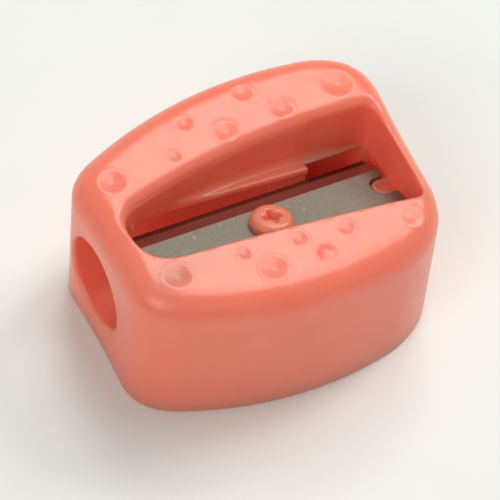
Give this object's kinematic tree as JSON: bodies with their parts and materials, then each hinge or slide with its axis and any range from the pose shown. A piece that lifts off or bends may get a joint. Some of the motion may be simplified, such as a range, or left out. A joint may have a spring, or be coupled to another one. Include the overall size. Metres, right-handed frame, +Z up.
{
  "type": "pencil sharpener",
  "caption": "Small hand-held pencil sharpener: moulded wedge-shaped plastic housing with a pencil hole, and a ground steel blade screwed down in a window on top.",
  "frame": {"origin": "centre of the underside, in the middle of the bounding box", "axes": "+X along the pencil from its hole to its tip, +Z up out of the top face, +Y to the back, where the cutting edge is"},
  "size_m": [0.03, 0.0246, 0.015],
  "materials": {
    "coral_plastic": "satin",
    "ground_steel": "ground",
    "screw_plastic": "satin"
  },
  "bodies": {
    "housing": {"housing": "coral_plastic"},
    "blade": {"blade": "ground_steel"},
    "screw": {"screw": "screw_plastic"}
  },
  "joints": [
    {"name": "blade_lift", "type": "slide", "parent": "housing", "child": "blade", "axis": [0.1288, 0.2125, 0.9686], "range_m": [0, 0.0007]},
    {"name": "screw_turn", "type": "hinge", "parent": "blade", "child": "screw", "pos_m": [-0.00005, -0.00219, 0.01049], "axis": [0.1288, 0.2125, 0.9686], "range_deg": [0, 360]}
  ],
  "couplings": [
    {"joint": "screw_turn", "follows": "blade_lift", "rad_per_m": 8970}
  ]
}
